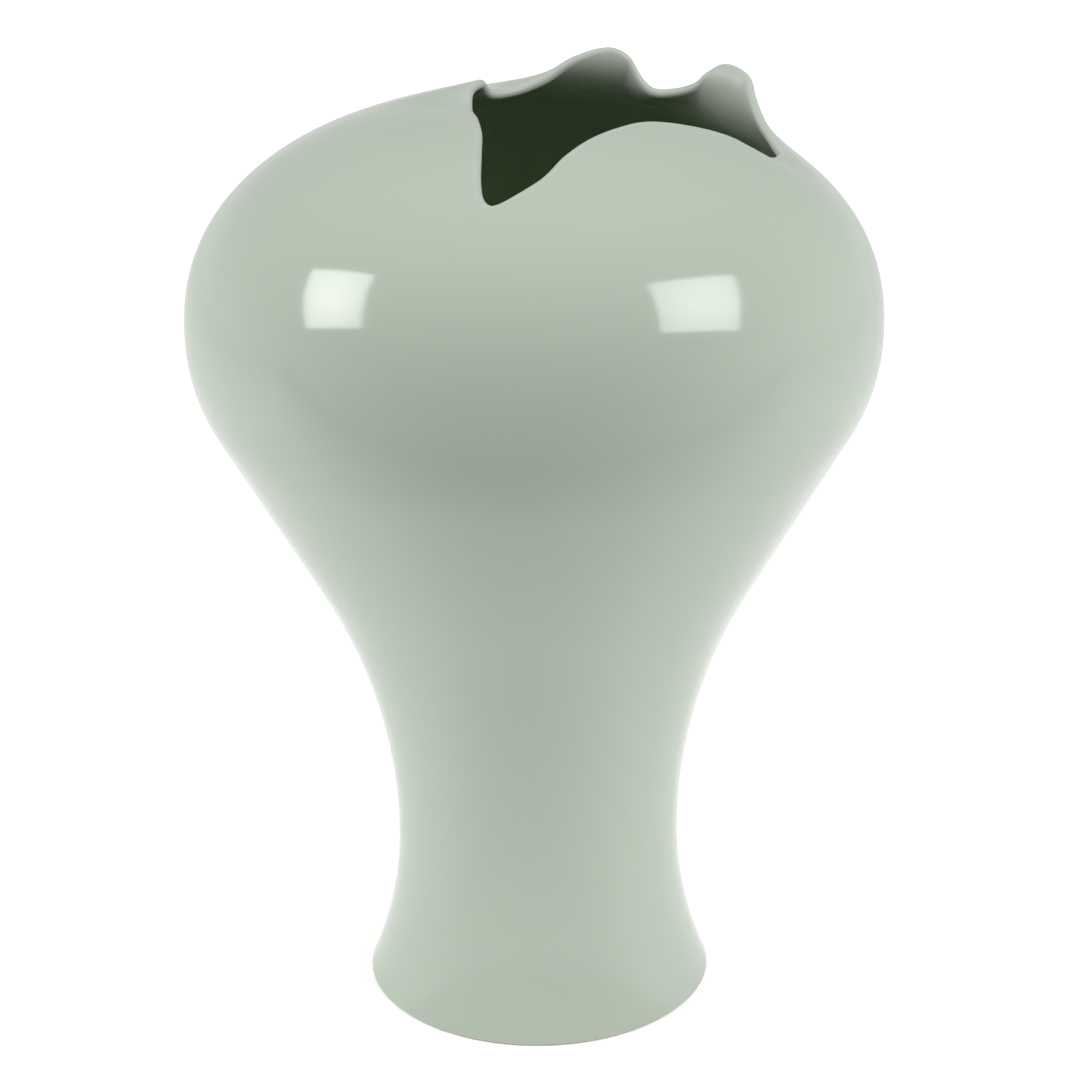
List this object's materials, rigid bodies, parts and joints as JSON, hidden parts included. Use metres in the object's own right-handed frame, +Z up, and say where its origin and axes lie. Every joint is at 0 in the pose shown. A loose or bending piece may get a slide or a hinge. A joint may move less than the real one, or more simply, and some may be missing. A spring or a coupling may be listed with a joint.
{
  "type": "meiping vase",
  "caption": "Wide-shouldered ceramic meiping vase on a narrow stem and flared foot, with a torn, wavy mouth across the dome.",
  "frame": {"origin": "centre of the foot ring, on the table", "axes": "+Z up along the vase's axis, -Y towards the viewer of the picture, +X to the viewer's right, where the mouth opens"},
  "size_m": [0.216, 0.216, 0.3035],
  "materials": {
    "glazed_body": "pale grey-green celadon glaze, satin to gloss",
    "bare_clay": "matt fired stoneware clay",
    "base_glaze": "pale grey-green celadon glaze, satin"
  },
  "bodies": {
    "root": {"lower_body": "glazed_body", "luting_slip": "bare_clay", "upper_body": "glazed_body", "base_glaze": "base_glaze"}
  },
  "joints": []
}
